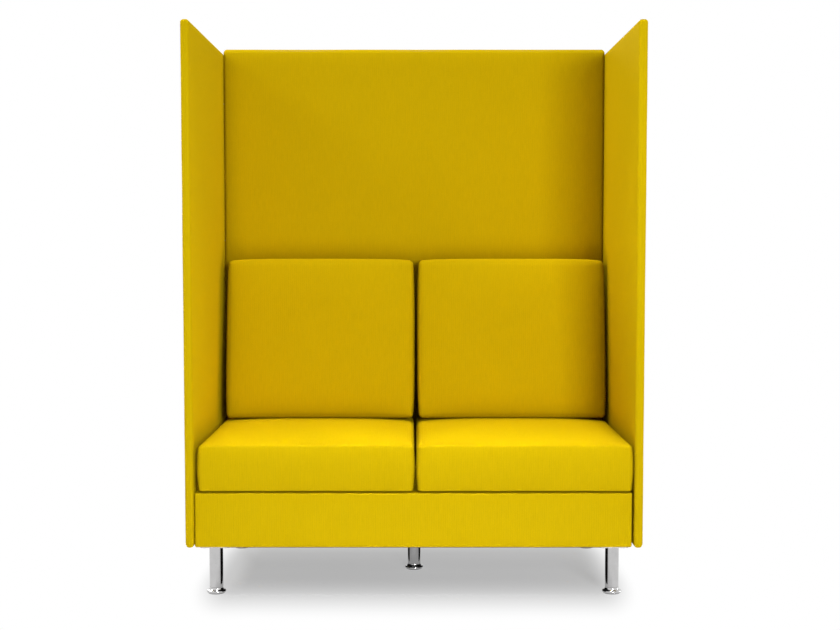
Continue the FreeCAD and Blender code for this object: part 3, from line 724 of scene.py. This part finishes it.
def staple_spots(low, high):
    """Places and directions of staples along the four edges of a sheet."""
    inset = Vector((STAPLE_INSET, STAPLE_INSET, 0.0))
    inner_low, inner_high = low + inset, high - inset
    for axis in (0, 1):
        other = 1 - axis
        length = inner_high[axis] - inner_low[axis]
        count = int(length / STAPLE_PITCH)
        for i in range(count):
            for edge in (inner_low[other], inner_high[other]):
                spot = Vector((0.0, 0.0, low.z))
                spot[axis] = inner_low[axis] + (i + 0.5) * length / count
                spot[other] = edge
                yield spot, axis


def staples(material):
    """Wire staples that hold the underside cloth to the rails, one mesh for all."""
    mesh = bmesh.new()
    plates = [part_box(leg + "_leg_plate") for leg in LEGS]
    for spot, axis in staple_spots(*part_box("dust_cover")):
        if any(a.x - STAPLE_LENGTH < spot.x < b.x + STAPLE_LENGTH
               and a.y - STAPLE_LENGTH < spot.y < b.y + STAPLE_LENGTH for a, b in plates):
            continue
        crown = bmesh.ops.create_cube(mesh, size=1.0)["verts"]
        size = Vector((STAPLE_WIRE, STAPLE_WIRE, STAPLE_WIRE))
        size[axis] = STAPLE_LENGTH
        for vertex in crown:
            vertex.co = Vector(vertex.co[i] * size[i] for i in range(3)) + spot
        edges = list({edge for vertex in crown for edge in vertex.link_edges})
        bmesh.ops.bevel(mesh, geom=edges, offset=STAPLE_WIRE * STAPLE_ROUND, segments=2, affect="EDGES")
    piece = finished_mesh("underside_staples", mesh)
    piece.data.materials.append(material)
    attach(piece, "sofa")


def sofa():
    """New materials for the CAD nodes, and the soft pieces over them."""
    screen_cloth = woven_fabric("screen_cloth", SCREEN_RELIEF)
    base_cloth = woven_fabric("base_cloth", PAD_RELIEF)
    cushion_cloth = woven_fabric("cushion_cloth", PAD_RELIEF)
    finishes = {
        "foam": open_foam("cut_foam"),
        "plywood": sawn_wood("plywood", PLYWOOD_TONES, PLYWOOD_STRETCH),
        "softwood": sawn_wood("softwood", SOFTWOOD_TONES, SOFTWOOD_STRETCH),
        "chrome": polished_chrome("polished_chrome"),
        "glide_plastic": moulded_plastic("glide_plastic"),
        "webbing": strap_webbing("elastic_webbing"),
        "felt": fibre_felt("grey_felt", FELT_TONES, scale=320.0),
        "dust_cloth": fibre_felt("underside_cloth", UNDERSIDE_TONES, scale=700.0),
        "grip_tape": fibre_felt("grip_tape", GRIP_TONES, scale=1400.0),
        "zinc_steel": zinc_plate("zinc_steel"),
    }
    for row in frame["record"]["subparts"]:
        if row["material_slot"] in finishes:
            materials = frame["nodes"][row["node"]].data.materials
            materials.clear()
            materials.append(finishes[row["material_slot"]])
    for side in SIDES:
        screen(side + "_screen_cover", screen_cloth)
    screen("back_screen_cover", screen_cloth, BACK_SCREEN_EDGE, BACK_SCREEN_SQUEEZE, BACK_SCREEN_REACH)
    plinth(base_cloth)
    for side in SIDES:
        seat_cushion(side, cushion_cloth)
        back_cushion(side, cushion_cloth)
    dust_sheet(finishes["dust_cloth"])
    staples(finishes["zinc_steel"])


# Studio

def softbox(name, place, target, size, spread, power):
    """A rectangular lamp aimed at a point; spread narrows its beam."""
    lamp = bpy.data.lights.new(name, "AREA")
    lamp.shape = "RECTANGLE"
    lamp.size, lamp.size_y = size
    lamp.spread = spread
    lamp.energy = power
    holder = bpy.data.objects.new(name, lamp)
    holder.location = place
    holder.rotation_euler = (Vector(target) - Vector(place)).to_track_quat("-Z", "Y").to_euler()
    bpy.context.scene.collection.objects.link(holder)


def seen_directly(tree):
    """1 for rays that show a surface as it is: from the camera, in a mirror or through glass."""
    path = tree.nodes.new("ShaderNodeLightPath")
    total = path.outputs["Is Camera Ray"]
    for kind in ("Is Glossy Ray", "Is Transmission Ray"):
        either = tree.nodes.new("ShaderNodeMath")
        either.operation = "MAXIMUM"
        tree.links.new(total, either.inputs[0])
        tree.links.new(path.outputs[kind], either.inputs[1])
        total = either.outputs[0]
    return total


def floor():
    """A pale floor: white in the open, and under the sofa a soft painted shade, a dip in its own glow, on
    which the real shadow shows only near the middle.
    """
    mesh = bmesh.new()
    bmesh.ops.create_grid(mesh, x_segments=FLOOR_CELLS, y_segments=FLOOR_CELLS, size=FLOOR_HALF)
    piece = finished_mesh("floor", mesh)
    s = Shader("pale_floor")
    grain = s.span(s.noise(s.coordinate("Object"), scale=30.0), start=0.0, end=1.0, to=(0.99, 1.01))
    s.set(Roughness=0.9, Specular_IOR_Level=0.0, Emission_Color=WHITE)
    x, y, _ = s.split(s.coordinate("Object"))
    beyond = [s.math("MAXIMUM", s.math("SUBTRACT", s.math("ABSOLUTE", part), start), 0.0)
              for part, start in zip((x, y), PAINTED_SHADE_CORE)]
    steps = [s.math("DIVIDE", part, length) for part, length in zip(beyond, PAINTED_SHADE_FADE)]
    away = s.math("SQRT", s.math("ADD", *[s.math("MULTIPLY", step, step) for step in steps]))
    direct = seen_directly(s.tree)
    # painted shade: the glow that the floor shows is dimmer under the sofa and rises to white away from it
    glow = s.span(away, start=0.0, end=1.0, to=(FLOOR_GLOW, 1.0))
    s.set(Emission_Strength=s.math("MULTIPLY", direct, glow))
    # the real light and shadow show on the floor only near its middle, where the seen tone is kept
    near = s.math("POWER", s.span(away, start=0.0, end=1.0, to=(1.0, 0.0)), FLOOR_HOLD)
    shown = s.math("MULTIPLY", s.math("MULTIPLY", near, FLOOR_TONE), grain)
    tone = s.blend(direct, FLOOR_BOUNCE, shown)
    s.set(Base_Color=s.join(tone, tone, tone))
    piece.data.materials.append(s.material)


def shade_reflection_cards():
    """Dark cards under the sofa, seen only in its chrome: a painted reflection of the shade under the sofa,
    which draws a dark line down each leg.
    """
    mesh = bmesh.new()
    for x, near, far in SHADE_REFLECTION_CARDS:
        outline = ((near, 0.0), (far, 0.0), (far, SHADE_CARD_HEIGHT), (near, SHADE_CARD_HEIGHT))
        mesh.faces.new([mesh.verts.new((x, y, z)) for y, z in outline])
    piece = finished_mesh("shade_reflection_cards", mesh)
    s = Shader("reflected_shade_card")
    fibre = s.noise(s.coordinate("Object"), scale=60.0)
    s.set(Base_Color=s.ramp(fibre, start=0.3, end=0.7, tones=CARD_TONES))
    s.set(Roughness=0.9, Specular_IOR_Level=0.0)
    piece.data.materials.append(s.material)
    # only reflections show the cards, so they put painted shade into the chrome
    piece.visible_camera = piece.visible_diffuse = piece.visible_shadow = piece.visible_transmission = False


def world():
    """Even soft light all round, and plain white behind the sofa."""
    sky = bpy.data.worlds.new("studio")
    sky.use_nodes = True
    tree = sky.node_tree
    light = tree.nodes["Background"]
    light.inputs["Color"].default_value = WHITE
    strength = tree.nodes.new("ShaderNodeMix")
    strength.inputs[2].default_value = AMBIENT
    strength.inputs[3].default_value = 1.0
    tree.links.new(seen_directly(tree), strength.inputs[0])
    tree.links.new(strength.outputs[0], light.inputs["Strength"])
    bpy.context.scene.world = sky


def view():
    """The camera at the photograph's place."""
    camera = bpy.data.objects.new("camera", bpy.data.cameras.new("camera"))
    camera.data.sensor_width = CAMERA_SENSOR
    camera.data.lens = CAMERA_LENS
    camera.data.shift_x, camera.data.shift_y = CAMERA_SHIFT
    camera.location = CAMERA_PLACE
    camera.rotation_euler = (math.pi / 2.0 - CAMERA_TILT, 0.0, 0.0)
    bpy.context.scene.collection.objects.link(camera)
    bpy.context.scene.camera = camera


def studio():
    """Floor, the cards that paint reflected shade into the chrome, world, lamps and camera."""
    bpy.context.scene.view_settings.view_transform = "Standard"
    floor()
    shade_reflection_cards()
    world()
    for lamp in SOFTBOXES:
        softbox(*lamp)
    view()


sofa()
studio()
